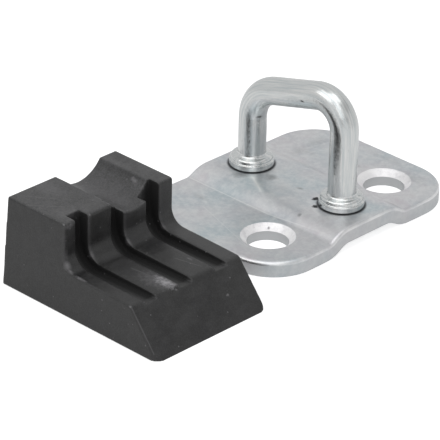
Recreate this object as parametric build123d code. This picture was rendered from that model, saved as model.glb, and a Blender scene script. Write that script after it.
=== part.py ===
from build123d import *
import os
from math import radians, sqrt, tan

# Door striker set: a pressed plate with a bent rod that a latch closes on, and a moulded guide wedge.
# Millimetres, +Z up. The origin is on the plate's underside, midway between its screw holes.
# X runs from leg to leg of the rod, Y from screw hole to screw hole.

# Plate blank
plate_thickness = 4.5
plate_length = 74.8             # along Y
plate_width = 55.0              # along X
hole_edge_distance = 15.6       # from the screw holes' line to the blank's +X edge
corner_radius = 14.0
waist_inset = 0.4               # the pressing draws the two long edges in beside the strip
waist_end = 17.0                # |Y| where the waist starts
waist_bend_share = 0.46         # each bend takes up this share of the slanting run
plate_top_round = 1.1           # sheared edge, rounded on the side that shows
plate_bottom_round = 0.3

# Raised strip, pressed up across the middle of the plate
strip_rise = 2.4
strip_width = 20.5              # between the two crest lines, on the upper face
ramp_run = 4.3                  # from crest line to foot line, along Y
crest_round = 11.0              # outer side of a crest
crest_under_round = 6.5         # inner side of a crest, on the underside
foot_under_round = 10.0         # outer side of a foot, on the underside
foot_round = 3.0                # inner side of a foot

# Screw holes, countersunk from above
screw_spacing = 46.5
screw_hole_diameter = 11.5
countersink_diameter = 15.0
countersink_angle = 90.0
countersink_rim_round = 0.25

# Rod and its bends, on the centreline
rod_diameter = 7.85
leg_spacing = 33.65
near_leg_x = 4.3                # the leg nearer to the screw holes' line
loop_offset_y = 0.9             # the rod's plane lies a little off the strip's middle
near_corner_height = 31.75      # where leg and bar would meet, above the strip
far_corner_height = 22.7
near_bend_radius = 7.8
far_bend_radius = 10.8

# Collar upset on each leg
collar_overhang = 2.4           # how far the flange stands out from the rod
collar_flange_height = 1.8
collar_flange_round = 0.45
collar_lip_round = 0.2
collar_step = 0.45              # the neck and shoulder stand back from the flange by this
collar_neck_height = 0.5        # straight part between the flange and the shoulder
collar_shoulder_round = 0.85
collar_root_fillet = 0.9

# Tails, staked over on the plate's underside
tail_diameter = 7.0
tail_clearance = 0.05           # all round, also in the countersink
stake_diameter = 9.6
stake_depth = 1.3               # height of the countersink that the tail is staked into
stake_crown = 0.5               # how far the staked end stands below the strip's underside

# Guide wedge: u from its back, v from its left side, z up
wedge_length = 57.3
wedge_width = 40.0
wedge_height = 25.6
wedge_plate_gap = 9.55          # from the wedge's right side to the plate's blank
wedge_back_overhang = 4.3       # how far the plate's -X edge lies behind the wedge's back
wedge_back_draft = 0.95         # lean of the back face over its height
wedge_side_draft = 1.3          # lean of the left side over its height
step_depth = 22.45              # from the back to the step, at the top
ramp_back_height = 12.7         # at the step
ramp_front_height = 12.2        # at the sloping front
front_slope_run = 0.84          # run of the sloping front for each unit of height
step_fillet = 4.5
step_top_round = 0.7
ramp_lip_round = 1.5
wedge_edge_round = 0.35
front_left_corner_radius = 3.0
front_right_corner_radius = 2.0
back_corner_round = 0.3

# Channel along the top of the wedge's back block
channel_radius = 9.36
channel_depth = 4.5
channel_centre_v = 26.0
channel_rim_round = 0.3

# Grooves down the step and along the ramp
groove_count = 3
groove_pitch = 12.7
groove_first_v = 7.25
groove_width = 4.35
groove_step_depth = 2.6         # into the step, low down
groove_top_depth = 3.6          # into the step, at the top
groove_back_depth = 2.25        # into the ramp, next to the step
groove_front_depth = 0.95       # into the ramp, at the sloping front
groove_mouth_round = 0.35

strip_top = plate_thickness + strip_rise
plate_front_x = hole_edge_distance
plate_back_x = hole_edge_distance - plate_width
far_leg_x = near_leg_x - leg_spacing
wedge_origin = (plate_back_x + wedge_back_overhang, -plate_length / 2 - wedge_plate_gap - wedge_width, 0)
through = 4 * plate_thickness   # long enough to cut right through the plate
tolerance = 0.01                # for picking edges and faces by position or direction


def rounded_outline(corners, radii):
    """A closed outline whose corners are rounded, each to its own radius."""
    with BuildSketch() as outline:
        with BuildLine():
            FilletPolyline(*corners, radius=radii, close=True)
        make_face()
    return outline.sketch


def plate_section():
    """The plate seen along X: lobe, ramp, strip, ramp, lobe, of one thickness measured square to it."""
    crest = strip_width / 2
    foot = crest + ramp_run
    end = plate_length
    ramp_angle = Vector(ramp_run, strip_rise).get_angle(Vector(1, 0))
    shift = plate_thickness * tan(radians(ramp_angle / 2))
    top = [(-end, 0, 0), (-foot, 0, foot_round), (-crest, strip_rise, crest_round)]
    top += [(crest, strip_rise, crest_round), (foot, 0, foot_round), (end, 0, 0)]
    low = [(-end, 0, 0), (-foot + shift, 0, foot_under_round)]
    low += [(-crest + shift, strip_rise, crest_under_round)]
    low += [(crest - shift, strip_rise, crest_under_round)]
    low += [(foot - shift, 0, foot_under_round), (end, 0, 0)]
    corners = [(y, z + plate_thickness) for y, z, _ in top] + [(y, z) for y, z, _ in reversed(low)]
    radii = [r for _, _, r in top] + [r for _, _, r in reversed(low)]
    return rounded_outline(corners, radii)


def blank_outline():
    """The plate seen from above: a rounded rectangle, drawn in a little beside the strip."""
    half = plate_length / 2
    narrow = strip_width / 2
    slant = Vector(waist_inset, waist_end - narrow)
    turn = radians(slant.get_angle(Vector(0, 1)))
    bend = waist_bend_share * slant.length / tan(turn / 2)
    side = [(0, -half, corner_radius), (0, -waist_end, bend), (waist_inset, -narrow, bend)]
    side += [(waist_inset, narrow, bend), (0, waist_end, bend)]
    side += [(0, half, corner_radius)]
    corners = [(plate_front_x - inset, y) for inset, y, _ in side]
    corners += [(plate_back_x + inset, y) for inset, y, _ in reversed(side)]
    radii = [r for _, _, r in side] + [r for _, _, r in reversed(side)]
    return rounded_outline(corners, radii)


def rim_edges(plate, upper):
    """Edges of the blank's upright sides, along the upper face or along the underside."""
    sides = [f for f in plate.faces() if abs(f.normal_at().Z) < tolerance]
    edges = [e for f in sides for e in f.edges() if abs((e % 0.5).Z) < 1 - tolerance]
    return [e for e in edges if ((e @ 0.5).Z > rim_mid_height((e @ 0.5).Y)) == upper]


def rim_mid_height(y):
    """Height of the middle of the plate's edge at y."""
    crest = strip_width / 2
    rise = max(0.0, min(1.0, (crest + ramp_run - abs(y)) / ramp_run)) * strip_rise
    return plate_thickness / 2 + rise


def sink_rims(plate):
    """The countersinks' circles in the plate's upper face."""
    circles = plate.edges().filter_by(GeomType.CIRCLE)
    level = [e for e in circles if abs((e @ 0).Z - plate_thickness) < tolerance]
    return [e for e in level if abs(e.radius - countersink_diameter / 2) < tolerance]


def tail_solid(clearance):
    """A leg's tail below the strip's upper face at z = 0, with room all round where it is a cutter."""
    radius = tail_diameter / 2 + clearance
    head_radius = stake_diameter / 2 + clearance
    head_top = -plate_thickness + stake_depth + clearance
    head_low = -plate_thickness - stake_crown - clearance
    flat_radius = head_radius - stake_crown
    points = [(0, 0), (radius, 0), (radius, head_top), (head_radius, -plate_thickness)]
    points += [(flat_radius, head_low), (0, head_low)]
    with BuildPart() as tail:
        with BuildSketch(Plane.XZ):
            with BuildLine():
                Polyline(*points, close=True)
            make_face()
        revolve(axis=Axis.Z)
    return tail.part


def make_plate():
    """Pressed plate: the section run along X and trimmed to the blank's outline, then holed."""
    band = extrude(Plane.YZ * plate_section(), amount=plate_width, both=True)
    blank = extrude(blank_outline(), amount=through, both=True)
    plate = band & blank
    plate = fillet(rim_edges(plate, True), plate_top_round)
    plate = fillet(rim_edges(plate, False), plate_bottom_round)

    sink_depth = (countersink_diameter - screw_hole_diameter) / 2 / tan(radians(countersink_angle / 2))
    for y in (-screw_spacing / 2, screw_spacing / 2):
        plate -= Pos(0, y, 0) * Cylinder(screw_hole_diameter / 2, through)
        sink = Cone(screw_hole_diameter / 2, countersink_diameter / 2, sink_depth)
        plate -= Pos(0, y, plate_thickness - sink_depth / 2) * sink
    plate = fillet(sink_rims(plate), countersink_rim_round)

    for x in (near_leg_x, far_leg_x):
        plate -= Pos(x, loop_offset_y, strip_top) * tail_solid(tail_clearance)
    return plate


def collar_solid():
    """A leg's upset collar, standing on z = 0: flange, neck, rounded shoulder, fillet to the rod."""
    rod = rod_diameter / 2
    rim = rod + collar_overhang
    shoulder = rim - collar_step
    neck_top = collar_flange_height + collar_neck_height
    shoulder_top = neck_top + collar_shoulder_round
    with BuildPart() as collar:
        with BuildSketch(Plane.XZ):
            with BuildLine():
                base = Line((0, 0), (rim - collar_flange_round, 0))
                edge = RadiusArc(base @ 1, (rim, collar_flange_round), -collar_flange_round)
                side = Line(edge @ 1, (rim, collar_flange_height - collar_lip_round))
                lip = RadiusArc(side @ 1, (rim - collar_lip_round, collar_flange_height), -collar_lip_round)
                ledge = Line(lip @ 1, (shoulder, collar_flange_height))
                neck = Line(ledge @ 1, (shoulder, neck_top))
                crown_end = (shoulder - collar_shoulder_round, shoulder_top)
                crown = RadiusArc(neck @ 1, crown_end, -collar_shoulder_round)
                root_start = Line(crown @ 1, (rod + collar_root_fillet, shoulder_top))
                root_end = (rod, shoulder_top + collar_root_fillet)
                root = RadiusArc(root_start @ 1, root_end, collar_root_fillet)
                Polyline(root @ 1, (0, shoulder_top + collar_root_fillet), (0, 0))
            make_face()
        revolve(axis=Axis.Z)
    return collar.part


def make_loop():
    """Bent rod with a collar and a tail at the foot of each leg."""
    y = loop_offset_y
    far_foot = (far_leg_x, y, strip_top)
    far_corner = (far_leg_x, y, strip_top + far_corner_height)
    near_corner = (near_leg_x, y, strip_top + near_corner_height)
    near_foot = (near_leg_x, y, strip_top)
    bends = [far_bend_radius, near_bend_radius]
    with BuildPart() as rod:
        with BuildLine():
            FilletPolyline(far_foot, far_corner, near_corner, near_foot, radius=bends)
        with BuildSketch(Plane(origin=far_foot, z_dir=(0, 0, 1))):
            Circle(rod_diameter / 2)
        sweep()
    loop = rod.part
    for foot in (far_foot, near_foot):
        loop += Pos(*foot) * collar_solid()
        loop += Pos(*foot) * tail_solid(0)
    return loop


def wedge_side_profile():
    """The wedge seen from its left side: back, top, step, ramp, sloping front."""
    ramp_end = wedge_length - front_slope_run * ramp_front_height
    corners = [(0, 0), (wedge_back_draft, wedge_height), (step_depth, wedge_height)]
    corners += [(step_depth, ramp_back_height), (ramp_end, ramp_front_height), (wedge_length, 0)]
    radii = [0, wedge_edge_round, step_top_round, step_fillet, ramp_lip_round, 0]
    return rounded_outline(corners, radii)


def groove_profile():
    """A groove's depth seen from the side: behind the step's face and below the ramp's face."""
    back_top = step_depth - groove_top_depth
    back_low = step_depth - groove_step_depth
    floor_back = ramp_back_height - groove_back_depth
    floor_front = ramp_front_height - groove_front_depth
    ramp_end = wedge_length - front_slope_run * ramp_front_height
    fall = (floor_front - floor_back) / (ramp_end - back_low)
    above = wedge_height + 1
    lean = groove_top_depth - groove_step_depth
    back_above = back_top - lean / (wedge_height - floor_back)
    corners = [(back_above, above), (back_low, floor_back)]
    corners += [(wedge_length, floor_back + fall * (wedge_length - back_low)), (wedge_length, above)]
    return rounded_outline(corners, [0, step_fillet + groove_step_depth, 0, 0])


def groove_centres():
    """Each groove's middle, measured from the wedge's left side."""
    return [groove_first_v + k * groove_pitch for k in range(groove_count)]


def mouth_edges(wedge):
    """Edges where a groove's two walls meet the wedge's outside, not those along the groove's floor."""
    floor = groove_profile().wire()
    walls = [c + side * groove_width / 2 for c in groove_centres() for side in (-1, 1)]

    def is_mouth(edge):
        ends_and_middle = [edge @ 0, edge @ 0.5, edge @ 1]
        on_wall = any(all(abs(p.Y - v) < tolerance for p in ends_and_middle) for v in walls)
        middle = edge @ 0.5
        return on_wall and floor.distance_to(Vertex(middle.X, middle.Z, 0)) > tolerance

    return [e for e in wedge.edges() if is_mouth(e)]


def rim_lines(wedge):
    """Straight edges of the channel in the top of the back block."""
    half_chord = sqrt(channel_radius**2 - (channel_radius - channel_depth) ** 2)
    level = [e for e in wedge.edges() if all(abs((e @ t).Z - wedge_height) < tolerance for t in (0, 1))]
    return [e for e in level if abs(abs((e @ 0.5).Y - channel_centre_v) - half_chord) < tolerance]


def make_wedge():
    """Moulded wedge with a round channel along its top and grooves down its step."""
    side = extrude(Plane.XZ * wedge_side_profile(), amount=-wedge_width)
    end_corners = [(0, 0), (wedge_width, 0), (wedge_width, wedge_height), (wedge_side_draft, wedge_height)]
    end_radii = [0, 0, wedge_edge_round, wedge_edge_round]
    end = extrude(Plane.YZ * rounded_outline(end_corners, end_radii), amount=wedge_length)
    plan_corners = [(0, 0), (wedge_length, 0), (wedge_length, wedge_width), (0, wedge_width)]
    plan_radii = [back_corner_round, front_left_corner_radius, front_right_corner_radius, back_corner_round]
    plan = extrude(rounded_outline(plan_corners, plan_radii), amount=wedge_height)
    wedge = side & end & plan

    channel_centre_z = wedge_height - channel_depth + channel_radius
    channel = Rot(0, 90, 0) * Cylinder(channel_radius, 2 * wedge_length)
    wedge -= Pos(0, channel_centre_v, channel_centre_z) * channel

    for centre in groove_centres():
        cutter = extrude(Plane.XZ * groove_profile(), amount=groove_width / 2, both=True)
        wedge -= Pos(0, centre, 0) * cutter
    wedge = fillet(mouth_edges(wedge), groove_mouth_round)
    wedge = fillet(rim_lines(wedge), channel_rim_round)
    return Pos(*wedge_origin) * wedge


pieces = {
    "striker_plate": make_plate,
    "striker_loop": make_loop,
    "guide_wedge": make_wedge,
}

os.makedirs("parts", exist_ok=True)
for name, make in pieces.items():
    export_step(make(), os.path.join("parts", name + ".step"))
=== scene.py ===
from math import cos, pi, radians, sin

import bmesh
import bpy
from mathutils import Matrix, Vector


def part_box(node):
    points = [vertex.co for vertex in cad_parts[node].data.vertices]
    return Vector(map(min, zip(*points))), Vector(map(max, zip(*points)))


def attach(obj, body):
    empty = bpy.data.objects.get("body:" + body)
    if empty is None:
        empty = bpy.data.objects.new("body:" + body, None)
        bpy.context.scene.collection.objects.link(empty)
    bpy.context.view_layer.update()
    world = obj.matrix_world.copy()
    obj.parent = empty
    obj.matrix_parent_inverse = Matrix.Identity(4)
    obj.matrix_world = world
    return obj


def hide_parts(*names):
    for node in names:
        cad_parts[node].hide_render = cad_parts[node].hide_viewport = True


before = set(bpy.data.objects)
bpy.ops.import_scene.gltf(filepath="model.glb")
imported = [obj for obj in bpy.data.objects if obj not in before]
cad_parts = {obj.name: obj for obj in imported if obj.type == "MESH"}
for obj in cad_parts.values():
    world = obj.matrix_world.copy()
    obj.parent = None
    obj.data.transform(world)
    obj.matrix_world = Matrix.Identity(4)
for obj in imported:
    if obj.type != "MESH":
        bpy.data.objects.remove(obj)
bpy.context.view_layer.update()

# A door striker and its guide wedge: a zinc plated plate with a bent bar, and a black moulded block.
# Lengths are in millimetres where a name doesn't say otherwise, and MM turns them into metres.
MM = 0.001

# Camera: a long lens that looks down on the object from its front right
PICTURE = 440
CAMERA_AT = (518.33, -585.62, 415.59)
CAMERA_TARGET = (-20.74, -20.20, 0.0)
CAMERA_ROLL = radians(1.41)
FOCAL_PIXELS = 3253.7
SENSOR_WIDTH = 36.0
CLIP_NEAR = 50.0
CLIP_FAR = 20000.0

# Bent bar
BAR_DIAMETER = 7.85
STRIP_TOP = 6.9                 # height of the plate's raised strip
NEAR_CORNER_HEIGHT = 31.75      # where leg and bar would meet, above the strip
FAR_CORNER_HEIGHT = 22.7
NEAR_BEND_RADIUS = 7.8
FAR_BEND_RADIUS = 10.8
BAR_STEP = 0.35                 # spacing of the rings along the bar
BAR_SIDES = 96
BEND_STEPS = 40
WELD = 0.002                    # points closer than this are joined

# Foot of each leg: collar on the strip, tail through the plate, staked over underneath
COLLAR_OVERHANG = 2.4
COLLAR_RADIUS = BAR_DIAMETER / 2 + COLLAR_OVERHANG
FLANGE_HEIGHT = 1.8
FLANGE_ROUND = 0.45
LIP_ROUND = 0.2
NECK_STEP = 0.45
NECK_HEIGHT = 0.5
SHOULDER_ROUND = 0.85
ROOT_FILLET = 0.9
PLATE_THICKNESS = 4.5
TAIL_RADIUS = 3.5
STAKE_RADIUS = 4.8
STAKE_DEPTH = 1.3
STAKE_CROWN = 0.5
ARC_STEPS = 8

# Screw holes in the plate
SCREW_HALF_SPACING = 23.25
COUNTERSINK_RADIUS = 7.5
BORE_MASK_RADIUS = 5.95         # a little past the bore's wall, so that the whole wall takes its finish
COUNTERSINK_LOW = 2.7           # height where the cone ends and the bore begins

# Studio; light levels are radiances, where 1 shows as white
LAMP_DISTANCE = 900.0
FLOOR_REACH = 3000.0
FLOOR_DROP = 0.05               # keeps the floor clear of the faces that stand on it
TENT_LIGHT = 0.47
TENT_IN_GLOSS = 0.72
WHITE = (1, 1, 1, 1)
FLOOR_COLOUR = (0.8, 0.8, 0.8, 1)
FLOOR_ROUGHNESS = 0.9
FLOOR_GLOW = 0.70
FLOOR_GLOW_IN_GLOSS = 0.28

# Softboxes: name, bearing, height in degrees, width and height in millimetres, radiance
SOFTBOXES = [
    ("key softbox", -110, 54, (620, 540), 1.0),
    ("side softbox", -47, 40, (340, 700), 0.92),
    ("overhead softbox", -15, 80, (660, 480), 0.92),
]

# Panels and gaps of the tent that only polished metal shows:
# bearing, height, half width, half height and soft edge in degrees, radiance
TENT_PANELS = [
    (-84, 6, 11, 22, 6, 0.92),
    (-27, 4, 13, 22, 6, 0.9),
    (-55, 0, 5, 34, 5, 0.34),
    (-12, 20, 9, 7, 5, 0.35),
    (40, 42, 32, 12, 9, 0.50),
]

# Guide wedge. Its back is the side away from the sloping front, and its left side is the one of low Y.
WEDGE_VOXEL = 0.34
WEDGE_SMOOTHING = 2
WEDGE_SMOOTHING_FACTOR = 0.5
GROOVE_BACK = 18.6              # from the wedge's back to the grooves' back walls
GROOVE_FRONT = 47.6             # from the wedge's back to the grooves' front ends
GROOVE_FADE = 2.0               # length over which the painted shade in the grooves grows paler at the front
GROOVE_FIRST = 7.25             # the first groove's middle, from the wedge's left side
GROOVE_PITCH = 12.7
GROOVE_COUNT = 3
GROOVE_HALF_WIDTH = 2.25
GROOVE_RIGHT_BLEND = 0.12       # the painted shade ends sharply at a groove's right wall
GROOVE_LEFT_BLEND = 3.05        # and grows slowly from its left wall
GROOVE_LOWEST = 9.0             # below this height nothing belongs to a groove
GROOVE_BLEND = 0.5              # length over which the painted shade grows from the back walls and upwards
TOP_FACE_FROM = 17.0            # heights between which a face comes to count as the wedge's top
TOP_FACE_FULL = 20.5
RIGHT_SIDE_FROM = 26.0          # distances from the left side between which level faces grow paler
RIGHT_SIDE_FULL = 38.0

# Marks. A spot has a middle, a reach along each axis and a strength. A line has two ends, a width and a
# strength. Places, reaches and widths are in millimetres, and a strength of 1 covers what lies below.

# Pale scuffs where the wedge is rubbed: on its ramp, its top, its rims and the corners of its step; the
# broad faint ones on its top and channel are painted light, and the tall narrow ones low on the step are
# painted sheens
WEDGE_SCUFFS_AND_SHEENS = [
    ((9.0, -71.2, 12.3), (4.6, 2.5, 1.6), 0.85),
    ((6.8, -72.2, 12.3), (7.0, 3.9, 1.6), 0.2),
    ((17.1, -56.4, 6.1), (0.7, 0.7, 0.4), 0.35),
    ((4.5, -58.0, 12.3), (1.4, 0.5, 1.0), 0.25),
    ((-6.6, -85.9, 12.6), (2.2, 0.6, 0.8), 0.4),
    ((-12.7, -84.5, 24.6), (0.5, 2.0, 1.0), 0.2),
    ((-19.9, -53.8, 24.4), (1.6, 1.0, 0.8), 0.35),
    ((-30.0, -75.0, 25.6), (8.0, 4.0, 2.0), 0.1),
    ((-17.0, -80.0, 25.6), (5.0, 4.0, 2.0), 0.1),
    ((-27.0, -61.0, 22.0), (14.0, 9.0, 4.0), 0.11),
    ((-18.4, -55.6, 24.6), (3.6, 2.6, 2.0), 0.2),
    ((-30.0, -52.0, 25.6), (7.0, 2.0, 1.5), 0.08),
    ((-14.2, -69.3, 25.6), (1.5, 0.4, 0.6), 0.4),
    ((-18.0, -56.2, 25.0), (2.4, 1.3, 1.2), 0.22),
    ((13.5, -64.5, 12.3), (1.2, 0.4, 0.5), 0.35),
    ((-13.1, -85.7, 25.5), (1.0, 0.5, 0.4), 0.4),
    ((-12.7, -76.9, 25.4), (0.6, 0.5, 0.5), 0.45),
    ((11.9, -86.2, 12.2), (0.8, 0.5, 0.5), 0.4),
    ((-9.6, -77.2, 15.0), (0.5, 0.3, 2.0), 0.45),
    ((-9.3, -64.5, 14.6), (0.5, 0.3, 2.0), 0.5),
    ((-9.3, -51.8, 14.8), (0.5, 0.3, 1.8), 0.5),
]

# Soft highlights where the step turns into the ramp
WEDGE_GLINTS = [
    ((-11.6, -85.7, 14.3), (1.6, 1.2, 1.7), 0.42),
    ((-12.5, -85.4, 17.0), (0.8, 1.0, 2.2), 0.2),
    ((-10.4, -85.9, 13.1), (1.4, 0.7, 0.8), 0.3),
    ((-11.5, -77.1, 14.3), (1.5, 0.8, 1.9), 0.26),
    ((-11.0, -64.5, 13.7), (1.5, 0.8, 1.6), 0.26),
    ((-10.9, -52.0, 13.7), (1.3, 0.8, 1.4), 0.2),
]

# Fine scratches on the wedge; the four wide faint ones are painted highlights on the corners of its step
WEDGE_SCRATCHES_AND_HIGHLIGHTS = [
    ((11.9, -86.1, 12.3), (20.5, -86.3, 2.0), 0.4, 0.17),
    ((-16.0, -69.2, 25.6), (-33.0, -69.2, 25.6), 0.2, 0.2),
    ((-28.0, -55.0, 25.3), (-22.0, -53.6, 25.4), 0.2, 0.15),
    ((-19.8, -55.2, 25.4), (-16.1, -57.1, 24.9), 0.3, 0.3),
    ((-12.6, -86.5, 25.0), (-12.4, -86.2, 15.5), 1.5, 0.1),
    ((-12.6, -77.1, 25.0), (-12.4, -77.1, 15.5), 1.1, 0.1),
    ((-12.6, -64.4, 24.0), (-12.4, -64.4, 15.0), 1.0, 0.09),
    ((-12.6, -51.7, 25.0), (-12.4, -51.7, 15.0), 0.9, 0.06),
    ((-2.0, -72.5, 12.5), (9.0, -71.0, 12.3), 0.3, 0.2),
    ((2.0, -60.5, 12.4), (9.5, -58.5, 12.3), 0.3, 0.16),
    ((-34.0, -61.0, 22.0), (-20.0, -57.0, 22.6), 0.25, 0.16),
    ((-28.0, -86.0, 25.6), (-20.0, -79.0, 25.6), 0.22, 0.18),
    ((-31.0, -82.0, 25.6), (-24.0, -77.0, 25.6), 0.25, 0.15),
    ((-24.0, -84.0, 25.6), (-17.0, -81.0, 25.6), 0.25, 0.15),
]

# Dull smudges on the plate; the broad faint ones on the raised strip are painted dark reflections of the
# bar and legs
PLATE_SMUDGES_AND_REFLECTIONS = [
    ((-28.6, 27.2, 4.5), (2.4, 4.6, 2), 0.17),
    ((-28.4, 19.2, 4.5), (2.6, 4.4, 2), 0.17),
    ((-26.4, 20.6, 4.5), (5.2, 1.6, 2), 0.13),
    ((-27.6, -20.6, 4.5), (3.2, 1.6, 2), 0.2),
    ((-26.6, -6.4, 6.9), (2.6, 2.6, 2), 0.42),
    ((-19.6, -1.6, 6.9), (2.4, 2.4, 2), 0.45),
    ((-9.6, -0.6, 6.9), (1.4, 0.9, 2), 0.5),
    ((0.0, -11.1, 6.9), (0.7, 0.9, 2), 0.6),
    ((12.3, 13.6, 4.5), (3.2, 0.8, 2), 0.5),
    ((-4.2, -18.5, 3.6), (0.4, 0.4, 1.5), 0.8),
    ((-12.0, -5.0, 6.9), (9.0, 4.2, 2), 0.09),
    ((-33.0, -6.0, 6.9), (5.0, 3.0, 2), 0.12),
    ((4.0, 30.0, 4.5), (7.0, 3.0, 2), 0.14),
    ((-10.7, 24.5, 4.5), (1.6, 0.8, 2), 0.25),
    ((14.0, -4.0, 6.9), (3.5, 5.0, 2), 0.1),
    ((-8.0, 33.5, 4.5), (8.0, 1.4, 2), 0.1),
]

# Pale lines on the plate; those at about 14.6 from its middle follow the feet of its raised strip and are
# painted highlights, and the wide ones on the strip are painted reflections of the collars
PLATE_LINES_AND_REFLECTIONS = [
    ((-37.7, -14.7, 4.6), (-8.1, -14.6, 4.6), 0.35, 0.55),
    ((-8.1, -14.6, 4.6), (13.5, -12.4, 5.4), 0.35, 0.45),
    ((-22.9, -24.2, 4.5), (-0.4, -31.5, 4.5), 0.3, 0.3),
    ((-22.8, -5.3, 6.9), (-16.2, -9.2, 6.9), 1.5, 0.95),
    ((-16.2, -9.2, 6.9), (-11.6, -11.8, 6.6), 1.1, 0.35),
    ((-2.4, -4.6, 6.9), (4.0, -8.0, 6.9), 1.6, 0.25),
    ((-30.8, -17.4, 4.5), (-24.0, -22.4, 4.5), 1.2, 0.25),
    ((-12.0, 14.6, 4.7), (13.0, 14.6, 4.7), 0.3, 0.3),
    ((-36.0, 14.4, 4.7), (-14.0, 14.6, 4.7), 0.3, 0.2),
    ((-21.0, 31.0, 4.5), (-3.0, 33.5, 4.5), 0.25, 0.2),
    ((-30.0, 16.4, 4.5), (-25.6, 31.6, 4.5), 0.22, 0.25),
]

# Black grit on the plate, close to the near leg's collar
NEAR_COLLAR_GRIT = [
    ((-2.5, -1.9, 6.9), (1.1, 1.2, 2), 0.93),
    ((0.5, -5.3, 6.9), (1.1, 1.0, 2), 0.93),
    ((-2.0, 4.3, 6.9), (0.9, 0.9, 2), 0.93),
]

# Dark spots on the bar and its collars
BAR_SPOTS = [
    ((-7.85, -2.95, 34.7), (0.9, 0.7, 0.45), 0.85),
    ((-25.7, -0.5, 22.9), (1.5, 1.2, 0.5), 0.8),
    ((8.2, 3.2, 9.6), (1.0, 1.0, 0.6), 0.7),
    ((6.4, 5.4, 9.4), (0.6, 0.6, 0.5), 0.6),
    ((-34.6, -2.4, 8.2), (0.5, 0.5, 0.4), 0.75),
    ((-33.4, -3.6, 9.0), (0.4, 0.4, 0.4), 0.6),
]

# Dark pitted stains that run with the bar; the two on the far leg are painted dark reflections
BAR_STAINS_AND_REFLECTIONS = [
    ((4.2, -3.05, 35.5), (4.95, -2.97, 17.5), 0.9, 0.8),
    ((-27.65, -2.6, 26.0), (-27.2, -2.35, 11.5), 0.85, 0.8),
    ((-28.3, -2.85, 25.0), (-27.9, -2.7, 17.0), 0.5, 0.5),
    ((-13.0, -3.0, 33.2), (-3.0, -3.0, 35.6), 0.5, 0.35),
]

# Finishes. Colours are linear red, green and blue with alpha 1, and a coat is a colour and its strength.

# How far a face looks up, from 1 on a level top to 0 on an upright wall, where a mask starts and is full
WALL_FACING = (0.35, 0.05)
RIM_FACING_HIGH = (0.85, 0.70)  # a rounded rim looks up less than this
RIM_FACING_LOW = (0.15, 0.35)   # and more than this
TOP_FACING = (0.3, 0.9)
LEVEL_FACING = (0.6, 0.9)

# Dull zinc plating of the plate
ZINC_COOL = (0.52, 0.585, 0.615, 1)
ZINC_WARM = (0.62, 0.59, 0.62, 1)
BLOTCH_COAT = (0.69, 0.705, 0.71, 1), 0.6
SPECKLE_COAT = (0.82, 0.83, 0.83, 1), 0.42
# Pale coat for the plate's lines: painted highlights and painted reflections
RUBBED_AND_HIGHLIGHT_COAT = (0.95, 0.96, 0.95, 1), 1.0
SHEARED_COAT = (0.42, 0.43, 0.44, 1), 0.42      # the blank's upright edges
RIM_HIGHLIGHT_COAT = (0.97, 0.97, 0.97, 1), 1.0          # painted highlight on the rounded rims
RIM_HIGHLIGHT_SHARE = (0.2, 0.75)        # strength of the painted highlight on the rims, off and on the blotches
COUNTERSINK_DULL = (0.80, 0.79, 0.81, 1)
COUNTERSINK_PALE = (1.0, 0.99, 1.0, 1)
BORE_COAT = (0.54, 0.55, 0.56, 1), 1.0
# Dark coat for smudges, grit and pin holes, and for the painted shadow round the collars
PLATE_DIRT_AND_SHADE_COAT = (0.035, 0.035, 0.038, 1), 1.0
PIN_HOLE_STRENGTH = 0.35
COLLAR_SHADOW = 0.75               # width of the painted shadow round each collar
COLLAR_SHADOW_DARK = 0.2           # the part of it that is darkest, next to the collar
COLLAR_SHADOW_STRENGTH = 0.82
PLATE_ROUGHNESS = (0.35, 0.44)  # off and on the blotches
COUNTERSINK_ROUGHNESS = 0.62
PLATE_DIRT_AND_SHADE_ROUGHNESS = 0.8
ROLLED_STRETCH = (1.0, 0.12, 1.0)
ROLLED_RELIEF = 0.6
TURNED_RELIEF = 2.0             # rings that the tool left in the countersinks
PLATE_BUMP = 0.35, 0.02         # strength, and depth in millimetres
EDGE_BLEND = 0.1                # width over which one finish turns into the next

# Bright zinc plating of the bar
STREAK_DARK = (0.57, 0.605, 0.615, 1)
STREAK_PALE = (0.745, 0.75, 0.74, 1)
STREAK_RATE = 14.0              # pattern units per metre of bar; round the bar its radius is one unit
BAR_DIRT_AND_SHADE_COAT = (0.05, 0.05, 0.045, 1), 1.0
PIT_STRENGTH = 0.3
# Painted shadow on the bar where each collar's flange meets the strip
FOOT_SHADOW_STRENGTH = 0.85
FOOT_SHADOW_TOP = (0.35, 0.1)      # heights above the strip where the painted shadow under a collar starts and is full
FOOT_SHADOW_LOW = (-0.5, -0.2)     # and the same at its lower end
BAR_ROUGHNESS = (0.27, 0.17)    # off and on the pale streaks
BAR_DIRT_AND_SHADE_ROUGHNESS = 0.7
BAR_GRAIN_RELIEF = 0.12
DENT_RELIEF = 0.9
HAIRLINE_RELIEF = 0.35
BAR_BUMP = 0.6, 0.07            # strength, and depth in millimetres

# Black moulding of the wedge
MOULDING_DARK = (0.0105, 0.0105, 0.011, 1)
MOULDING_GREY = (0.017, 0.0168, 0.0165, 1)
# Painted light: the top faces are coated paler where light falls from above
LIT_TOP_COAT = (0.036, 0.036, 0.037, 1), 1.0
RIGHT_SIDE_COAT = (0.046, 0.046, 0.047, 1), 0.6
SMEAR_COAT = (0.045, 0.045, 0.046, 1), 0.5
PATCH_COAT = (0.080, 0.080, 0.083, 1), 1.0
PATCH_SHARE = (0.08, 0.42)      # strength off and on the top faces
MOTTLE_COAT = (0.100, 0.100, 0.102, 1), 1.0
MOTTLE_SHARE = (0.20, 0.75)     # likewise
# Painted shade: the grooves are coated near-black where shade falls in them
GROOVE_SHADE_COAT = (0.0015, 0.0015, 0.0015, 1), 1.0
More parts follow.
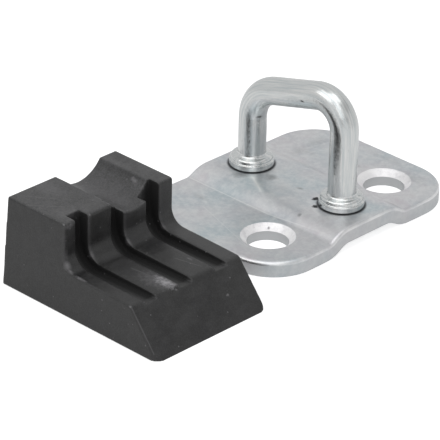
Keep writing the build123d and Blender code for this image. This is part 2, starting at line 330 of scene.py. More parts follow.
# Pale coat for scuffs, scratches and dust, and for painted highlights and sheens
SCUFF_AND_HIGHLIGHT_COAT = (0.42, 0.41, 0.43, 1), 1.0
DUST_STRENGTH = 0.19
MOULDING_ROUGHNESS = (0.38, 0.55)       # off and on the smears
GROOVE_ROUGHNESS = 0.9
SMEAR_TURN = radians(35)
SMEAR_STRETCH = (1.0, 0.3, 0.6)
SMEAR_RELIEF = 0.8
MOULDING_BUMP = 0.35, 0.05      # strength, and depth in millimetres


# Helpers for points and nodes

def mm(*numbers):
    """A point in metres from millimetres."""
    return Vector(numbers) * MM


def add(tree, kind, inputs=None, **settings):
    """A node with its settings; inputs gives each socket a value, or another node's output to follow."""
    node = tree.nodes.new(kind)
    for name, value in settings.items():
        setattr(node, name, value)
    for key, value in (inputs or {}).items():
        if isinstance(value, bpy.types.NodeSocket):
            tree.links.new(value, node.inputs[key])
        else:
            node.inputs[key].default_value = value
    return node


def group(name, kind, inputs, outputs):
    """A node group, its input sockets inside it, and a function that sets an output."""
    tree = bpy.data.node_groups.new(name, kind)
    for label, (socket, default) in inputs.items():
        item = tree.interface.new_socket(label, in_out="INPUT", socket_type=socket)
        if default is not None:
            item.default_value = default
    for label, socket in outputs.items():
        tree.interface.new_socket(label, in_out="OUTPUT", socket_type=socket)
    entry = tree.nodes.new("NodeGroupInput")
    end = tree.nodes.new("NodeGroupOutput")

    def give(label, value):
        tree.links.new(value, end.inputs[label])

    return tree, entry.outputs, give


def math(tree, operation, first, second=0.0):
    """The result of a Math node, held between 0 and 1 where the operation's name ends in a star."""
    settings = {"operation": operation.rstrip("*"), "use_clamp": operation.endswith("*")}
    return add(tree, "ShaderNodeMath", {0: first, 1: second}, **settings).outputs[0]


def vector(tree, operation, first, second=(0, 0, 0)):
    """A Vector Math node."""
    return add(tree, "ShaderNodeVectorMath", {0: first, 1: second}, operation=operation)


def axes(tree, value):
    """The X, Y and Z of a vector."""
    return add(tree, "ShaderNodeSeparateXYZ", {0: value}).outputs


def product(tree, first, *others):
    """The product of some masks."""
    for other in others:
        first = math(tree, "MULTIPLY", first, other)
    return first


def stronger(tree, mask, other, strength=1.0):
    """The stronger of a mask and another one at a strength."""
    return math(tree, "MAXIMUM", mask, math(tree, "MULTIPLY", other, strength))


def heaped(tree, value, other, share):
    """A value with a share of another one on top."""
    return math(tree, "ADD", value, math(tree, "MULTIPLY", other, share))


def mixed(tree, factor, first, second):
    """A colour between two colours."""
    return add(tree, "ShaderNodeMix", {0: factor, 6: first, 7: second}, data_type="RGBA").outputs[2]


def coated(tree, colour, mask, paint, strength):
    """A colour with a coat of another where a mask is."""
    return mixed(tree, math(tree, "MULTIPLY", mask, strength), colour, paint)


def ranged(tree, value, low, high, new_low=0.0, new_high=1.0):
    """A value moved from one range to another and held within it."""
    sockets = {"Value": value, "From Min": low, "From Max": high, "To Min": new_low, "To Max": new_high}
    return add(tree, "ShaderNodeMapRange", sockets).outputs["Result"]


def between(tree, mask, bare, full):
    """A value that goes from bare where a mask is 0 to full where it is 1."""
    return ranged(tree, mask, 0.0, 1.0, bare, full)


def reached(tree, length, start, full):
    """A mask that is 0 where a length is start and 1 where it is full, both in millimetres."""
    return ranged(tree, length, start * MM, full * MM)


def noise(tree, point, scale, detail=2.0, roughness=0.5):
    """A noise value, with its scale in features per metre."""
    sockets = {"Vector": point, "Scale": scale, "Detail": detail, "Roughness": roughness}
    return add(tree, "ShaderNodeTexNoise", sockets).outputs["Fac"]


def patches(tree, point, low, high, **texture):
    """A mask of ragged patches: noise that counts as 0 up to low and as 1 from high."""
    return ranged(tree, noise(tree, point, **texture), low, high)


# Effects that the materials share, each built once as a node group

def spot_group():
    """A soft spot with a ragged rim, such as a stain, a scuff or a dull patch."""
    inputs = {
        "Point": ("NodeSocketVector", None), "Centre": ("NodeSocketVector", None),
        "Reach": ("NodeSocketVector", (MM, MM, MM)), "Softness": ("NodeSocketFloat", 0.5),
        "Raggedness": ("NodeSocketFloat", 0.3), "Grain": ("NodeSocketFloat", 1500.0),
    }
    tree, given, give = group("soft spot", "ShaderNodeTree", inputs, {"Mask": "NodeSocketFloat"})
    offset = vector(tree, "SUBTRACT", given["Point"], given["Centre"]).outputs[0]
    share = vector(tree, "DIVIDE", offset, given["Reach"]).outputs[0]
    distance = vector(tree, "LENGTH", share).outputs["Value"]
    ragged = noise(tree, given["Point"], given["Grain"], detail=4.0, roughness=0.65)
    shift = math(tree, "MULTIPLY", math(tree, "SUBTRACT", ragged, 0.5), given["Raggedness"])
    edge = math(tree, "ADD", distance, shift)
    inside = math(tree, "DIVIDE*", math(tree, "SUBTRACT", 1.0, edge), given["Softness"])
    give("Mask", inside)
    return tree


def line_group():
    """A soft line between two points, such as a scratch or a press mark."""
    inputs = {
        "Point": ("NodeSocketVector", None), "Start": ("NodeSocketVector", None),
        "End": ("NodeSocketVector", None), "Width": ("NodeSocketFloat", 0.4 * MM),
    }
    tree, given, give = group("soft line", "ShaderNodeTree", inputs, {"Mask": "NodeSocketFloat"})
    run = vector(tree, "SUBTRACT", given["End"], given["Start"]).outputs[0]
    offset = vector(tree, "SUBTRACT", given["Point"], given["Start"]).outputs[0]
    along = vector(tree, "DOT_PRODUCT", offset, run).outputs["Value"]
    whole = vector(tree, "DOT_PRODUCT", run, run).outputs["Value"]
    share = math(tree, "DIVIDE*", along, whole)
    scaled = add(tree, "ShaderNodeVectorMath", {0: run, "Scale": share}, operation="SCALE").outputs[0]
    away = vector(tree, "DISTANCE", offset, scaled).outputs["Value"]
    inside = math(tree, "SUBTRACT*", 1.0, math(tree, "DIVIDE", away, given["Width"]))
    give("Mask", math(tree, "MULTIPLY", inside, inside))
    return tree


def fleck_group():
    """Small flecks strewn at random, such as dust, pin holes or grit."""
    inputs = {
        "Point": ("NodeSocketVector", None), "Scale": ("NodeSocketFloat", 400.0),
        "Size": ("NodeSocketFloat", 0.12), "Share": ("NodeSocketFloat", 0.1),
    }
    tree, given, give = group("flecks", "ShaderNodeTree", inputs, {"Mask": "NodeSocketFloat"})
    cells = add(tree, "ShaderNodeTexVoronoi", {"Vector": given["Point"], "Scale": given["Scale"]})
    near = math(tree, "LESS_THAN", cells.outputs["Distance"], given["Size"])
    lot = add(tree, "ShaderNodeSeparateColor", {0: cells.outputs["Color"]}).outputs[0]
    give("Mask", math(tree, "MULTIPLY", near, math(tree, "LESS_THAN", lot, given["Share"])))
    return tree


def clouds_group():
    """Broad soft clouds and a fine grain, which break up a plain surface."""
    inputs = {
        "Point": ("NodeSocketVector", None), "Cloud Scale": ("NodeSocketFloat", 60.0),
        "Grain Scale": ("NodeSocketFloat", 4000.0),
    }
    outputs = {"Clouds": "NodeSocketFloat", "Grain": "NodeSocketFloat"}
    tree, given, give = group("clouds and grain", "ShaderNodeTree", inputs, outputs)
    broad = noise(tree, given["Point"], given["Cloud Scale"], detail=3.0, roughness=0.55)
    give("Clouds", ranged(tree, broad, 0.35, 0.65))
    give("Grain", noise(tree, given["Point"], given["Grain Scale"], detail=2.0))
    return tree


SPOT = spot_group()
LINE = line_group()
FLECKS = fleck_group()
CLOUDS = clouds_group()


def spot(tree, point, centre, reach, softness, raggedness, grain):
    """A soft spot's mask; centre and reach in millimetres."""
    sockets = {"Point": point, "Centre": mm(*centre), "Reach": mm(*reach), "Softness": softness,
               "Raggedness": raggedness, "Grain": grain}
    return add(tree, "ShaderNodeGroup", sockets, node_tree=SPOT).outputs[0]


def spots(tree, point, marks, mask=0.0, **rim):
    """A mask with a list of spots added to it."""
    for centre, reach, strength in marks:
        mask = stronger(tree, mask, spot(tree, point, centre, reach, **rim), strength)
    return mask


def line(tree, point, start, end, width):
    """A soft line's mask; ends and width in millimetres."""
    sockets = {"Point": point, "Start": mm(*start), "End": mm(*end), "Width": width * MM}
    return add(tree, "ShaderNodeGroup", sockets, node_tree=LINE).outputs[0]


def scratches(tree, point, marks, mask=0.0):
    """A mask with a list of lines added to it."""
    for start, end, width, strength in marks:
        mask = stronger(tree, mask, line(tree, point, start, end, width), strength)
    return mask


def flecks(tree, point, scale, size, share):
    """A mask of strewn flecks."""
    sockets = {"Point": point, "Scale": scale, "Size": size, "Share": share}
    return add(tree, "ShaderNodeGroup", sockets, node_tree=FLECKS).outputs[0]


def clouds(tree, point, cloud_scale, grain_scale):
    """Clouds and grain."""
    sockets = {"Point": point, "Cloud Scale": cloud_scale, "Grain Scale": grain_scale}
    return add(tree, "ShaderNodeGroup", sockets, node_tree=CLOUDS).outputs


# Materials

def material(name, **sockets):
    """A material with a Principled shader, whose plain numbers are set on its own sockets."""
    made = bpy.data.materials.new(name)
    made.use_nodes = True
    tree = made.node_tree
    shader = tree.nodes["Principled BSDF"]
    for label, value in sockets.items():
        shader.inputs[label.replace("_", " ")].default_value = value
    point = add(tree, "ShaderNodeTexCoord").outputs["Object"]
    return made, tree, shader, point


def surfaced(tree, shader, colour, roughness, height, bump):
    """Leads a colour, a roughness and a height to a shader; bump is the height's strength and depth."""
    strength, depth = bump
    sockets = {"Strength": strength, "Distance": depth * MM, "Height": height}
    normal = add(tree, "ShaderNodeBump", sockets).outputs[0]
    for label, value in {"Base Color": colour, "Roughness": roughness, "Normal": normal}.items():
        tree.links.new(value, shader.inputs[label])


def facing_up(tree):
    """How far a face looks up: 1 on a level top and 0 on an upright wall."""
    return axes(tree, add(tree, "ShaderNodeNewGeometry").outputs["Normal"])["Z"]


def leg_places():
    """The points of the strip on which the far and the near leg stand, in metres."""
    low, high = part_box("striker_loop")
    y = (low.y + high.y) / 2
    inset = COLLAR_RADIUS * MM
    return Vector((low.x + inset, y, STRIP_TOP * MM)), Vector((high.x - inset, y, STRIP_TOP * MM))


def screw_holes(tree, parts):
    """The distance from the nearer screw hole's axis, and masks of the countersinks and the bores."""
    from_axis = math(tree, "SUBTRACT", math(tree, "ABSOLUTE", parts["Y"]), SCREW_HALF_SPACING * MM)
    flat = add(tree, "ShaderNodeCombineXYZ", {"X": parts["X"], "Y": from_axis}).outputs[0]
    radius = vector(tree, "LENGTH", flat).outputs["Value"]
    inside = reached(tree, radius, COUNTERSINK_RADIUS + EDGE_BLEND, COUNTERSINK_RADIUS - EDGE_BLEND)
    above = reached(tree, parts["Z"], COUNTERSINK_LOW - EDGE_BLEND / 2, COUNTERSINK_LOW)
    at_wall = reached(tree, radius, BORE_MASK_RADIUS + EDGE_BLEND, BORE_MASK_RADIUS)
    below = reached(tree, parts["Z"], COUNTERSINK_LOW, COUNTERSINK_LOW - EDGE_BLEND)
    return radius, product(tree, inside, above), product(tree, at_wall, below)


def plate_dirt_and_shade(tree, point):
    """Smudges, grit by the near collar, the painted shadow round each collar, and pin holes."""
    dirt_and_shade = spots(tree, point, PLATE_SMUDGES_AND_REFLECTIONS, softness=1.0, raggedness=1.3, grain=700.0)
    dirt_and_shade = spots(tree, point, NEAR_COLLAR_GRIT, dirt_and_shade, softness=0.4, raggedness=1.6, grain=1500.0)
    # Painted shadow in a ring round each collar on the plate
    for place in leg_places():
        offset = vector(tree, "SUBTRACT", point, place).outputs[0]
        radius = vector(tree, "LENGTH", offset).outputs["Value"]
        ring = reached(tree, radius, COLLAR_RADIUS + COLLAR_SHADOW, COLLAR_RADIUS + COLLAR_SHADOW_DARK)
        dirt_and_shade = stronger(tree, dirt_and_shade, ring, COLLAR_SHADOW_STRENGTH)
    pin_holes = flecks(tree, point, scale=420.0, size=0.09, share=0.05)
    return stronger(tree, dirt_and_shade, pin_holes, PIN_HOLE_STRENGTH)


def plated_plate():
    """Dull zinc plating on pressed sheet: soft clouds, rolling grain, smudges, pale countersinks, with
    painted highlights on its rims and along its strip, painted dark reflections, and painted shadow round
    the collars.
    """
    made, tree, shader, point = material("dull zinc plating", Metallic=1.0)
    veil = clouds(tree, point, cloud_scale=55.0, grain_scale=2600.0)
    blotches = patches(tree, point, low=0.4, high=0.62, scale=120.0, detail=4.0, roughness=0.6)
    speckle = patches(tree, point, low=0.42, high=0.62, scale=520.0, detail=6.0, roughness=0.72)
    cast = patches(tree, point, low=0.38, high=0.56, scale=520.0, detail=5.0, roughness=0.75)
    radius, countersink, bore = screw_holes(tree, axes(tree, point))
    dirt_and_shade = plate_dirt_and_shade(tree, point)

    up = facing_up(tree)
    walls = ranged(tree, up, *WALL_FACING)
    rims = product(tree, ranged(tree, up, *RIM_FACING_HIGH), ranged(tree, up, *RIM_FACING_LOW))
    rim_highlight = product(tree, rims, between(tree, blotches, *RIM_HIGHLIGHT_SHARE))

    colour = mixed(tree, veil["Clouds"], ZINC_COOL, ZINC_WARM)
    colour = coated(tree, colour, blotches, *BLOTCH_COAT)
    colour = coated(tree, colour, speckle, *SPECKLE_COAT)
    # painted highlights and painted reflections along the plate's lines
    colour = coated(tree, colour, scratches(tree, point, PLATE_LINES_AND_REFLECTIONS), *RUBBED_AND_HIGHLIGHT_COAT)
    colour = mixed(tree, countersink, colour, mixed(tree, cast, COUNTERSINK_DULL, COUNTERSINK_PALE))
    colour = coated(tree, colour, walls, *SHEARED_COAT)
    # painted highlight along the rounded rims
    colour = coated(tree, colour, rim_highlight, *RIM_HIGHLIGHT_COAT)
    colour = coated(tree, colour, bore, *BORE_COAT)
    # smudges, grit and pin holes, with painted shadow round the collars
    colour = coated(tree, colour, dirt_and_shade, *PLATE_DIRT_AND_SHADE_COAT)

    rough = between(tree, blotches, *PLATE_ROUGHNESS)
    rough = stronger(tree, rough, countersink, COUNTERSINK_ROUGHNESS)
    rough = stronger(tree, rough, dirt_and_shade, PLATE_DIRT_AND_SHADE_ROUGHNESS)

    stretched = add(tree, "ShaderNodeMapping", {"Vector": point, "Scale": ROLLED_STRETCH}).outputs[0]
    rolled = noise(tree, stretched, scale=1800.0, detail=3.0)
    rings = noise(tree, add(tree, "ShaderNodeCombineXYZ", {"X": radius}).outputs[0], scale=5000.0)
    relief = heaped(tree, veil["Grain"], rolled, ROLLED_RELIEF)
    relief = heaped(tree, relief, product(tree, rings, countersink), TURNED_RELIEF)
    surfaced(tree, shader, colour, rough, relief, PLATE_BUMP)
    return made


def bar_dirt_and_shade(tree, point, veil):
    """Fine pits, the painted shadow under the collars, pitted stains with painted dark reflections, and
    spots.
    """
    height = axes(tree, point)["Z"]
    pits = patches(tree, point, low=0.66, high=0.74, scale=1500.0)
    pits = product(tree, pits, ranged(tree, veil["Clouds"], 0.3, 1.0), PIT_STRENGTH)
    # Painted shadow on the bar just above and below the strip, under each collar's flange
    top = reached(tree, height, *(STRIP_TOP + edge for edge in FOOT_SHADOW_TOP))
    low = reached(tree, height, *(STRIP_TOP + edge for edge in FOOT_SHADOW_LOW))
    dirt_and_shade = stronger(tree, pits, product(tree, top, low), FOOT_SHADOW_STRENGTH)
    pitted = patches(tree, point, low=0.44, high=0.56, scale=1500.0, detail=5.0, roughness=0.8)
    dirt_and_shade = stronger(tree, dirt_and_shade, scratches(tree, point, BAR_STAINS_AND_REFLECTIONS), pitted)
    return spots(tree, point, BAR_SPOTS, dirt_and_shade, softness=0.7, raggedness=1.2, grain=1600.0)


def plated_bar():
    """Bright zinc plating on drawn bar: streaks that run with the bar, fine pits, dark spots and painted
    shadow at the collars, painted dark reflections on the far leg.
    """
    made, tree, shader, point = material("bright zinc plating", Metallic=1.0)
    around = axes(tree, add(tree, "ShaderNodeAttribute", attribute_name="around").outputs["Vector"])
    run = add(tree, "ShaderNodeAttribute", attribute_name="run").outputs["Fac"]
    sockets = {"X": around["X"], "Y": around["Y"], "Z": math(tree, "MULTIPLY", run, STREAK_RATE)}
    on_bar = add(tree, "ShaderNodeCombineXYZ", sockets).outputs[0]
    drawn = noise(tree, on_bar, scale=7.0, detail=5.0, roughness=0.65)
    streaks = ranged(tree, drawn, 0.35, 0.65)
    veil = clouds(tree, point, cloud_scale=160.0, grain_scale=3200.0)
    dirt_and_shade = bar_dirt_and_shade(tree, point, veil)

    colour = mixed(tree, streaks, STREAK_DARK, STREAK_PALE)
    # pits, stains and spots, with painted shadow at the collars and painted dark reflections
    colour = coated(tree, colour, dirt_and_shade, *BAR_DIRT_AND_SHADE_COAT)

    rough = between(tree, streaks, *BAR_ROUGHNESS)
    rough = stronger(tree, rough, dirt_and_shade, BAR_DIRT_AND_SHADE_ROUGHNESS)

    hairlines = noise(tree, on_bar, scale=30.0, detail=3.0, roughness=0.7)
    dents = noise(tree, point, scale=620.0, detail=3.0, roughness=0.6)
    relief = heaped(tree, drawn, veil["Grain"], BAR_GRAIN_RELIEF)
    relief = heaped(tree, relief, dents, DENT_RELIEF)
    relief = heaped(tree, relief, hairlines, HAIRLINE_RELIEF)
    surfaced(tree, shader, colour, rough, relief, BAR_BUMP)
    return made


def groove_shade_mask(tree, from_back, from_left, height):
    """Painted shade inside the wedge's grooves, fullest at their right walls."""
    bands = 0.0
    for number in range(GROOVE_COUNT):
        offset = math(tree, "SUBTRACT", from_left, (GROOVE_FIRST + number * GROOVE_PITCH) * MM)
        right = reached(tree, offset, GROOVE_HALF_WIDTH + GROOVE_RIGHT_BLEND, GROOVE_HALF_WIDTH)
        left = reached(tree, offset, -GROOVE_HALF_WIDTH, GROOVE_LEFT_BLEND - GROOVE_HALF_WIDTH)
        bands = math(tree, "MAXIMUM", bands, product(tree, right, left))
    behind = reached(tree, from_back, GROOVE_BACK, GROOVE_BACK + GROOVE_BLEND)
    ahead = reached(tree, from_back, GROOVE_FRONT, GROOVE_FRONT - GROOVE_FADE)
    above = reached(tree, height, GROOVE_LOWEST, GROOVE_LOWEST + GROOVE_BLEND)
    return product(tree, bands, behind, ahead, above)


def wedge_marks_and_highlights(tree, point):
    """Scuffs, painted soft highlights and sheens, scratches with painted highlights on the step's corners,
    and dust.
    """
    pale = spots(tree, point, WEDGE_SCUFFS_AND_SHEENS, softness=1.0, raggedness=2.0, grain=1000.0)
    pale = spots(tree, point, WEDGE_GLINTS, pale, softness=1.0, raggedness=0.5, grain=900.0)
    pale = scratches(tree, point, WEDGE_SCRATCHES_AND_HIGHLIGHTS, pale)
    fine_dust = flecks(tree, point, scale=620.0, size=0.14, share=0.16)
    dust = flecks(tree, point, scale=300.0, size=0.07, share=0.12)
    return stronger(tree, pale, math(tree, "MAXIMUM", fine_dust, dust), DUST_STRENGTH)


def black_moulding():
    """Black moulded plastic: paler on top with painted light, black in the grooves with painted shade, with
    scuffs, painted highlights, scratches and dust.
    """
    made, tree, shader, point = material("black moulding", IOR=1.5)
    parts = axes(tree, point)
    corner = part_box("guide_wedge")[0]
    from_back = math(tree, "SUBTRACT", parts["X"], corner.x)
    from_left = math(tree, "SUBTRACT", parts["Y"], corner.y)
    up = facing_up(tree)
    top = reached(tree, parts["Z"], TOP_FACE_FROM, TOP_FACE_FULL)
    top = product(tree, top, ranged(tree, up, *TOP_FACING))
    right_side = reached(tree, from_left, RIGHT_SIDE_FROM, RIGHT_SIDE_FULL)
    right_side = product(tree, right_side, ranged(tree, up, *LEVEL_FACING))
    groove = groove_shade_mask(tree, from_back, from_left, parts["Z"])

    veil = clouds(tree, point, cloud_scale=110.0, grain_scale=3000.0)
    sockets = {"Vector": point, "Rotation": (0, 0, SMEAR_TURN), "Scale": SMEAR_STRETCH}
    wiped = add(tree, "ShaderNodeMapping", sockets).outputs[0]
    smears = patches(tree, wiped, low=0.45, high=0.7, scale=420.0, detail=5.0, roughness=0.7)
    patched = patches(tree, point, low=0.46, high=0.62, scale=300.0, detail=5.0, roughness=0.72)
    patched = product(tree, patched, between(tree, top, *PATCH_SHARE))
    mottled = patches(tree, point, low=0.42, high=0.66, scale=2600.0, detail=3.0, roughness=0.8)
    mottled = product(tree, mottled, between(tree, top, *MOTTLE_SHARE))

    colour = mixed(tree, veil["Clouds"], MOULDING_DARK, MOULDING_GREY)
    # painted light on the top faces
    colour = coated(tree, colour, top, *LIT_TOP_COAT)
    colour = coated(tree, colour, right_side, *RIGHT_SIDE_COAT)
    colour = coated(tree, colour, smears, *SMEAR_COAT)
    colour = coated(tree, colour, patched, *PATCH_COAT)
    colour = coated(tree, colour, mottled, *MOTTLE_COAT)
    # painted shade in the grooves
    colour = coated(tree, colour, groove, *GROOVE_SHADE_COAT)
    # scuffs, scratches and dust, with painted highlights and sheens
    colour = coated(tree, colour, wedge_marks_and_highlights(tree, point), *SCUFF_AND_HIGHLIGHT_COAT)

    rough = between(tree, smears, *MOULDING_ROUGHNESS)
    rough = stronger(tree, rough, groove, GROOVE_ROUGHNESS)
    relief = heaped(tree, veil["Grain"], smears, SMEAR_RELIEF)
    surfaced(tree, shader, colour, rough, relief, MOULDING_BUMP)
    return made


# Pieces

def new_object(name, data):
    """An object at the origin, in the scene."""
    made = bpy.data.objects.new(name, data)
    bpy.context.scene.collection.objects.link(made)
    return made


def finished(draft, name):
    """A plain mesh object from a draft's evaluated modifiers; the draft goes."""
    graph = bpy.context.evaluated_depsgraph_get()
    mesh = bpy.data.meshes.new_from_object(draft.evaluated_get(graph), depsgraph=graph)
    mesh.name = name
    bpy.data.objects.remove(draft)
    mesh.polygons.foreach_set("use_smooth", [True] * len(mesh.polygons))
    return new_object(name, mesh)


def with_tree(draft, tree, values):
    """Gives a draft a geometry nodes modifier and sets its inputs by name."""
    modifier = draft.modifiers.new(tree.name, "NODES")
    modifier.node_group = tree
    for item in tree.interface.items_tree:
        if item.in_out == "INPUT" and item.name in values:
            modifier[item.identifier] = values[item.name]


def merged_copy(node, name):
    """A copy of a CAD node's mesh with its loose triangles joined."""
    copy = bpy.data.meshes.new(name)
    shell = bmesh.new()
    shell.from_mesh(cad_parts[node].data)
    bmesh.ops.remove_doubles(shell, verts=shell.verts, dist=WELD * MM)
    shell.to_mesh(copy)
    shell.free()
    return new_object(name, copy)


def arc(centre, radius, start, end):
    """Points of an arc in the profile's plane, angles in degrees."""
    angles = [radians(start + (end - start) * k / ARC_STEPS) for k in range(ARC_STEPS + 1)]
    return [(centre[0] + radius * cos(a), centre[1] + radius * sin(a)) for a in angles]


def foot_profile():
    """Half section of a leg's foot, (radius, height) from its staked end up to the root fillet."""
    shoulder = COLLAR_RADIUS - NECK_STEP
    shoulder_base = FLANGE_HEIGHT + NECK_HEIGHT
    shoulder_top = shoulder_base + SHOULDER_ROUND
    bar = BAR_DIAMETER / 2
    under = -PLATE_THICKNESS
    points = [(0.0, under - STAKE_CROWN), (STAKE_RADIUS - STAKE_CROWN, under - STAKE_CROWN)]
    points += [(STAKE_RADIUS, under), (TAIL_RADIUS, under + STAKE_DEPTH), (TAIL_RADIUS, 0.0)]
    rim = COLLAR_RADIUS - FLANGE_ROUND
    points += arc((rim, FLANGE_ROUND), FLANGE_ROUND, -90, 0)
    points += arc((COLLAR_RADIUS - LIP_ROUND, FLANGE_HEIGHT - LIP_ROUND), LIP_ROUND, 0, 90)
    points += [(shoulder, FLANGE_HEIGHT)]
    points += arc((shoulder - SHOULDER_ROUND, shoulder_base), SHOULDER_ROUND, 0, 90)
    points += arc((bar + ROOT_FILLET, shoulder_top + ROOT_FILLET), ROOT_FILLET, 270, 180)
    return points


def turned(name, profile, steps):
    """A solid of revolution about Z from (radius, height) points in millimetres."""
    shell = bmesh.new()
    chain = [shell.verts.new(mm(r, 0, z)) for r, z in profile]
    for first, second in zip(chain, chain[1:]):
        shell.edges.new((first, second))
    bmesh.ops.spin(shell, geom=shell.verts[:] + shell.edges[:], cent=(0, 0, 0), axis=(0, 0, 1),
                   angle=2 * pi, steps=steps, use_merge=True)
    bmesh.ops.remove_doubles(shell, verts=shell.verts, dist=WELD * MM)
    bmesh.ops.recalc_face_normals(shell, faces=shell.faces)
    mesh = bpy.data.meshes.new(name)
    shell.to_mesh(mesh)
    shell.free()
    return new_object(name, mesh)


def latch_bar_tree():
    """Bends a four point route, runs a round bar along it and stands a foot at each end.

    The surface keeps two attributes: around, the cosine and sine round the bar, and run, the way along it.
    """
    inputs = {
        "Route": ("NodeSocketGeometry", None), "Bar Diameter": ("NodeSocketFloat", 0.008),
        "Far Bend": ("NodeSocketFloat", 0.01), "Near Bend": ("NodeSocketFloat", 0.008),
        "Bend Steps": ("NodeSocketInt", 32), "Ring Spacing": ("NodeSocketFloat", 0.0005),
        "Sides": ("NodeSocketInt", 64), "Foot": ("NodeSocketObject", None),
        "Finish": ("NodeSocketMaterial", None),
    }
    tree, given, give = group("latch bar", "GeometryNodeTree", inputs, {"Bar": "NodeSocketGeometry"})
    index = add(tree, "GeometryNodeInputIndex").outputs[0]
    at_far = add(tree, "FunctionNodeCompare", {2: index, 3: 1}, data_type="INT", operation="EQUAL")
    sockets = {"Switch": at_far.outputs[0], "False": given["Near Bend"], "True": given["Far Bend"]}
    bend = add(tree, "GeometryNodeSwitch", sockets, input_type="FLOAT").outputs[0]
    sockets = {"Curve": given["Route"], "Count": given["Bend Steps"], "Radius": bend}
    bent = add(tree, "GeometryNodeFilletCurve", sockets, mode="POLY").outputs[0]
    sockets = {"Curve": bent, "Length": given["Ring Spacing"]}
    rings = add(tree, "GeometryNodeResampleCurve", sockets, mode="LENGTH").outputs[0]
    run = add(tree, "GeometryNodeSplineParameter").outputs["Length"]
    sockets = {"Geometry": rings, "Name": "run", "Value": run}
    rings = add(tree, "GeometryNodeStoreNamedAttribute", sockets, data_type="FLOAT").outputs[0]

    half = math(tree, "DIVIDE", given["Bar Diameter"], 2.0)
    sockets = {"Resolution": given["Sides"], "Radius": half}
    circle = add(tree, "GeometryNodeCurvePrimitiveCircle", sockets).outputs[0]
    place = add(tree, "GeometryNodeInputPosition").outputs[0]
    around = vector(tree, "NORMALIZE", place).outputs[0]
    sockets = {"Geometry": circle, "Name": "around", "Value": around}
    circle = add(tree, "GeometryNodeStoreNamedAttribute", sockets, data_type="FLOAT_VECTOR").outputs[0]
    sockets = {"Curve": rings, "Profile Curve": circle, "Fill Caps": True}
    bar = add(tree, "GeometryNodeCurveToMesh", sockets).outputs[0]

    ends = add(tree, "GeometryNodeCurveEndpointSelection", {"Start Size": 1, "End Size": 1}).outputs[0]
    foot = add(tree, "GeometryNodeObjectInfo", {"Object": given["Foot"]}).outputs["Geometry"]
    parts = axes(tree, place)
    level = add(tree, "ShaderNodeCombineXYZ", {"X": parts["X"], "Y": parts["Y"]}).outputs[0]
    outward = vector(tree, "NORMALIZE", level).outputs[0]
    sockets = {"Geometry": foot, "Name": "around", "Value": outward}
    foot = add(tree, "GeometryNodeStoreNamedAttribute", sockets, data_type="FLOAT_VECTOR").outputs[0]
    sockets = {"Geometry": foot, "Name": "run", "Value": parts["Z"]}
    foot = add(tree, "GeometryNodeStoreNamedAttribute", sockets, data_type="FLOAT").outputs[0]
    sockets = {"Points": given["Route"], "Selection": ends, "Instance": foot}
    feet = add(tree, "GeometryNodeInstanceOnPoints", sockets).outputs[0]
    feet = add(tree, "GeometryNodeRealizeInstances", {0: feet}).outputs[0]

    join = tree.nodes.new("GeometryNodeJoinGeometry")
    tree.links.new(bar, join.inputs[0])
    tree.links.new(feet, join.inputs[0])
    sockets = {0: join.outputs[0], "Material": given["Finish"]}
    give("Bar", add(tree, "GeometryNodeSetMaterial", sockets).outputs[0])
    return tree


def latch_bar(finish):
    """The bent bar with its two feet, as one piece."""
    far, near = leg_places()
    route = [far, far + mm(0, 0, FAR_CORNER_HEIGHT), near + mm(0, 0, NEAR_CORNER_HEIGHT), near]
    data = bpy.data.curves.new("bar route", "CURVE")
    data.dimensions = "3D"
    spline = data.splines.new("POLY")
    spline.points.add(len(route) - 1)
    for place, knot in zip(route, spline.points):
        knot.co = (*place, 1)
    foot = turned("foot draft", foot_profile(), BAR_SIDES)
    bar = new_object("bar draft", data)
    with_tree(bar, latch_bar_tree(), {
        "Bar Diameter": BAR_DIAMETER * MM, "Far Bend": FAR_BEND_RADIUS * MM,
        "Near Bend": NEAR_BEND_RADIUS * MM, "Bend Steps": BEND_STEPS, "Ring Spacing": BAR_STEP * MM,
        "Sides": BAR_SIDES, "Foot": foot, "Finish": finish,
    })
    bar = finished(bar, "latch_bar")
    bpy.data.objects.remove(foot)
    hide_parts("striker_loop")
    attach(bar, "root")


def wedge(finish):
    """The moulded block, remeshed finely so that its edges soften as a moulding's do."""
    draft = merged_copy("guide_wedge", "wedge draft")
    remesh = draft.modifiers.new("even faces", "REMESH")
    remesh.mode = "VOXEL"
    remesh.voxel_size = WEDGE_VOXEL * MM
    hug = draft.modifiers.new("back on the faces", "SHRINKWRAP")
    hug.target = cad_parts["guide_wedge"]
    hug.wrap_method = "NEAREST_SURFACEPOINT"
    soften = draft.modifiers.new("soft edges", "SMOOTH")
    soften.factor = WEDGE_SMOOTHING_FACTOR
    soften.iterations = WEDGE_SMOOTHING
    block = finished(draft, "guide_block")
    block.data.materials.clear()
    block.data.materials.append(finish)
    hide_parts("guide_wedge")
    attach(block, "root")


def plate(finish):
    """The pressed plate keeps its CAD mesh and takes its finish."""
    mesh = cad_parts["striker_plate"].data
    mesh.materials.clear()
    mesh.materials.append(finish)


# Studio

def softbox(name, bearing, height, size, radiance):
    """A lamp at a bearing and height in degrees from the object; size in millimetres."""
    data = bpy.data.lights.new(name, "AREA")
    data.shape = "RECTANGLE"
    data.size, data.size_y = size[0] * MM, size[1] * MM
    data.energy = radiance * pi * data.size * data.size_y
    level = cos(radians(height))
    away = Vector((level * cos(radians(bearing)), level * sin(radians(bearing)), sin(radians(height))))
    lamp = new_object(name, data)
    lamp.location = mm(*CAMERA_TARGET) + away * LAMP_DISTANCE * MM
    lamp.rotation_euler = away.to_track_quat("Z", "Y").to_euler()


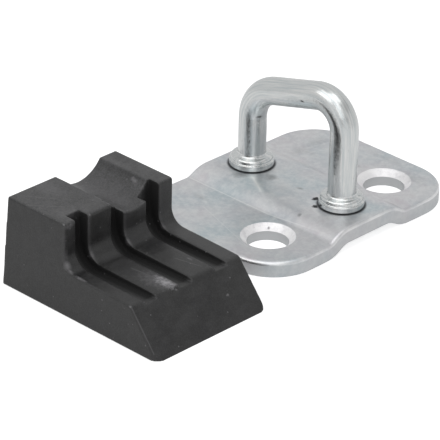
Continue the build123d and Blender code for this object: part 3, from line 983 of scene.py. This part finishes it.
def tent():
    """The world: an even pale tent, with the panels and gaps that polished metal shows."""
    world = bpy.data.worlds.new("studio")
    bpy.context.scene.world = world
    world.use_nodes = True
    tree = world.node_tree
    point = add(tree, "ShaderNodeTexCoord").outputs["Generated"]
    parts = axes(tree, vector(tree, "NORMALIZE", point).outputs[0])
    bearing = math(tree, "DEGREES", math(tree, "ARCTAN2", parts["Y"], parts["X"]))
    height = math(tree, "DEGREES", math(tree, "ARCSINE", parts["Z"]))
    shine = TENT_IN_GLOSS
    for at, up, half_width, half_height, edge, radiance in TENT_PANELS:
        aside = math(tree, "ABSOLUTE", math(tree, "SUBTRACT", bearing, at))
        above = math(tree, "ABSOLUTE", math(tree, "SUBTRACT", height, up))
        across = ranged(tree, aside, half_width + edge, half_width - edge)
        over = ranged(tree, above, half_height + edge, half_height - edge)
        shine = between(tree, product(tree, across, over), shine, radiance)
    path = add(tree, "ShaderNodeLightPath").outputs
    level = between(tree, path["Is Glossy Ray"], TENT_LIGHT, shine)
    tree.links.new(level, tree.nodes["Background"].inputs["Strength"])
    tree.nodes["Background"].inputs["Color"].default_value = WHITE


def white_floor():
    """A white floor that keeps the object's shadow."""
    mesh = bpy.data.meshes.new("floor")
    signs = [(-1, -1), (1, -1), (1, 1), (-1, 1)]
    corners = [mm(x * FLOOR_REACH, y * FLOOR_REACH, -FLOOR_DROP) for x, y in signs]
    mesh.from_pydata(corners, [], [(0, 1, 2, 3)])
    floor = new_object("floor", mesh)
    white = bpy.data.materials.new("white floor")
    white.use_nodes = True
    tree = white.node_tree
    shader = tree.nodes["Principled BSDF"]
    shader.inputs["Base Color"].default_value = FLOOR_COLOUR
    shader.inputs["Roughness"].default_value = FLOOR_ROUGHNESS
    shader.inputs["Specular IOR Level"].default_value = 0.0
    path = add(tree, "ShaderNodeLightPath").outputs
    reflected = math(tree, "MAXIMUM", path["Is Glossy Ray"], path["Is Transmission Ray"])
    glow = math(tree, "MULTIPLY", path["Is Camera Ray"], FLOOR_GLOW)
    glow = heaped(tree, glow, reflected, FLOOR_GLOW_IN_GLOSS)
    emission = add(tree, "ShaderNodeEmission", {"Color": WHITE, "Strength": glow})
    both = add(tree, "ShaderNodeAddShader", {0: shader.outputs[0], 1: emission.outputs[0]})
    tree.links.new(both.outputs[0], tree.nodes["Material Output"].inputs["Surface"])
    mesh.materials.append(white)


def camera():
    """The photograph's view."""
    data = bpy.data.cameras.new("view")
    data.sensor_width = SENSOR_WIDTH
    data.lens = FOCAL_PIXELS / PICTURE * SENSOR_WIDTH
    data.clip_start = CLIP_NEAR * MM
    data.clip_end = CLIP_FAR * MM
    made = new_object("view", data)
    made.location = mm(*CAMERA_AT)
    aim = (mm(*CAMERA_TARGET) - made.location).to_track_quat("-Z", "Y")
    made.rotation_euler = aim.to_euler()
    made.rotation_euler.rotate_axis("Z", CAMERA_ROLL)
    bpy.context.scene.camera = made


plate(plated_plate())
latch_bar(plated_bar())
wedge(black_moulding())
tent()
white_floor()
for box in SOFTBOXES:
    softbox(*box)
camera()
bpy.context.scene.view_settings.view_transform = "Standard"
